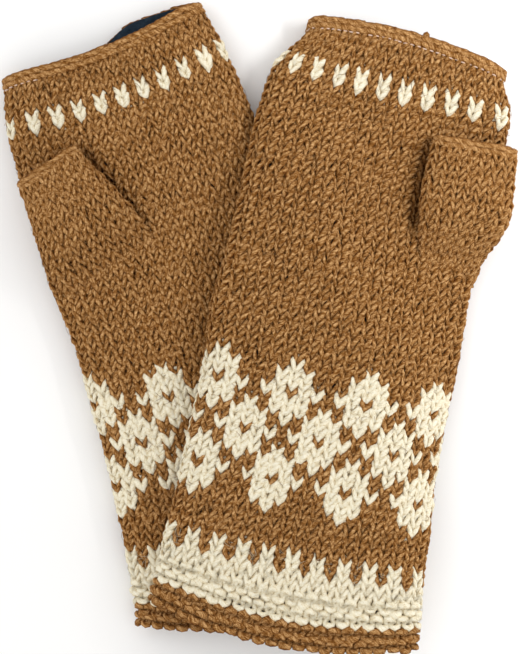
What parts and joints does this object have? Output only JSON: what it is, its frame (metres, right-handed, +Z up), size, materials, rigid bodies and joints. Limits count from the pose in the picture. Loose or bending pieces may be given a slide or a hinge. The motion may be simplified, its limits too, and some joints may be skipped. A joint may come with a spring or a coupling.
{
  "type": "pair of fingerless gloves",
  "caption": "Hand-knitted wool fingerless gloves lying crossed, palms up: fleece-lined tubes with thumb sleeves, cream diamonds and garter cuffs.",
  "frame": {"origin": "on the surface the gloves lie on, under the centre of the pair's bounding box", "axes": "+Z up out of the palms, +Y from the wrists towards the finger openings, +X towards the right glove's thumb"},
  "size_m": [0.1803, 0.2261, 0.0301],
  "materials": {
    "camel_wool": "woolly, matt, two-ply hand knit",
    "cream_wool": "woolly, matt, two-ply hand knit",
    "navy_fleece": "soft brushed fleece",
    "pink_tan_thread": "thin spun sewing thread with a slight sheen"
  },
  "bodies": {
    "left_glove": {"left_garter_hem": "camel_wool", "left_garter_cuff": "cream_wool", "left_hand_knit": "camel_wool", "left_finger_edge": "camel_wool", "left_diamond_yarn": "cream_wool", "left_v_row_yarn": "cream_wool", "left_fleece_lining": "navy_fleece", "left_finger_edge_thread": "pink_tan_thread", "left_wrist_thread": "pink_tan_thread"},
    "left_thumb": {"left_thumb_sleeve": "camel_wool", "left_thumb_edge": "camel_wool"},
    "right_glove": {"right_garter_hem": "camel_wool", "right_garter_cuff": "cream_wool", "right_hand_knit": "camel_wool", "right_finger_edge": "camel_wool", "right_diamond_yarn": "cream_wool", "right_v_row_yarn": "cream_wool", "right_fleece_lining": "navy_fleece", "right_finger_edge_thread": "pink_tan_thread", "right_wrist_thread": "pink_tan_thread"},
    "right_thumb": {"right_thumb_sleeve": "camel_wool", "right_thumb_edge": "camel_wool"}
  },
  "joints": [
    {"name": "right_glove_lift", "type": "slide", "parent": "left_glove", "child": "right_glove", "axis": [0, 0, 1], "range_m": [0, 0.12]},
    {"name": "left_thumb_swing", "type": "hinge", "parent": "left_glove", "child": "left_thumb", "pos_m": [-0.0545, 0.0275, 0.015], "axis": [0, 0, 1], "range_deg": [-20, 45]},
    {"name": "right_thumb_swing", "type": "hinge", "parent": "right_glove", "child": "right_thumb", "pos_m": [0.069, 0.0285, 0.015], "axis": [0, 0, -1], "range_deg": [-20, 45]}
  ]
}
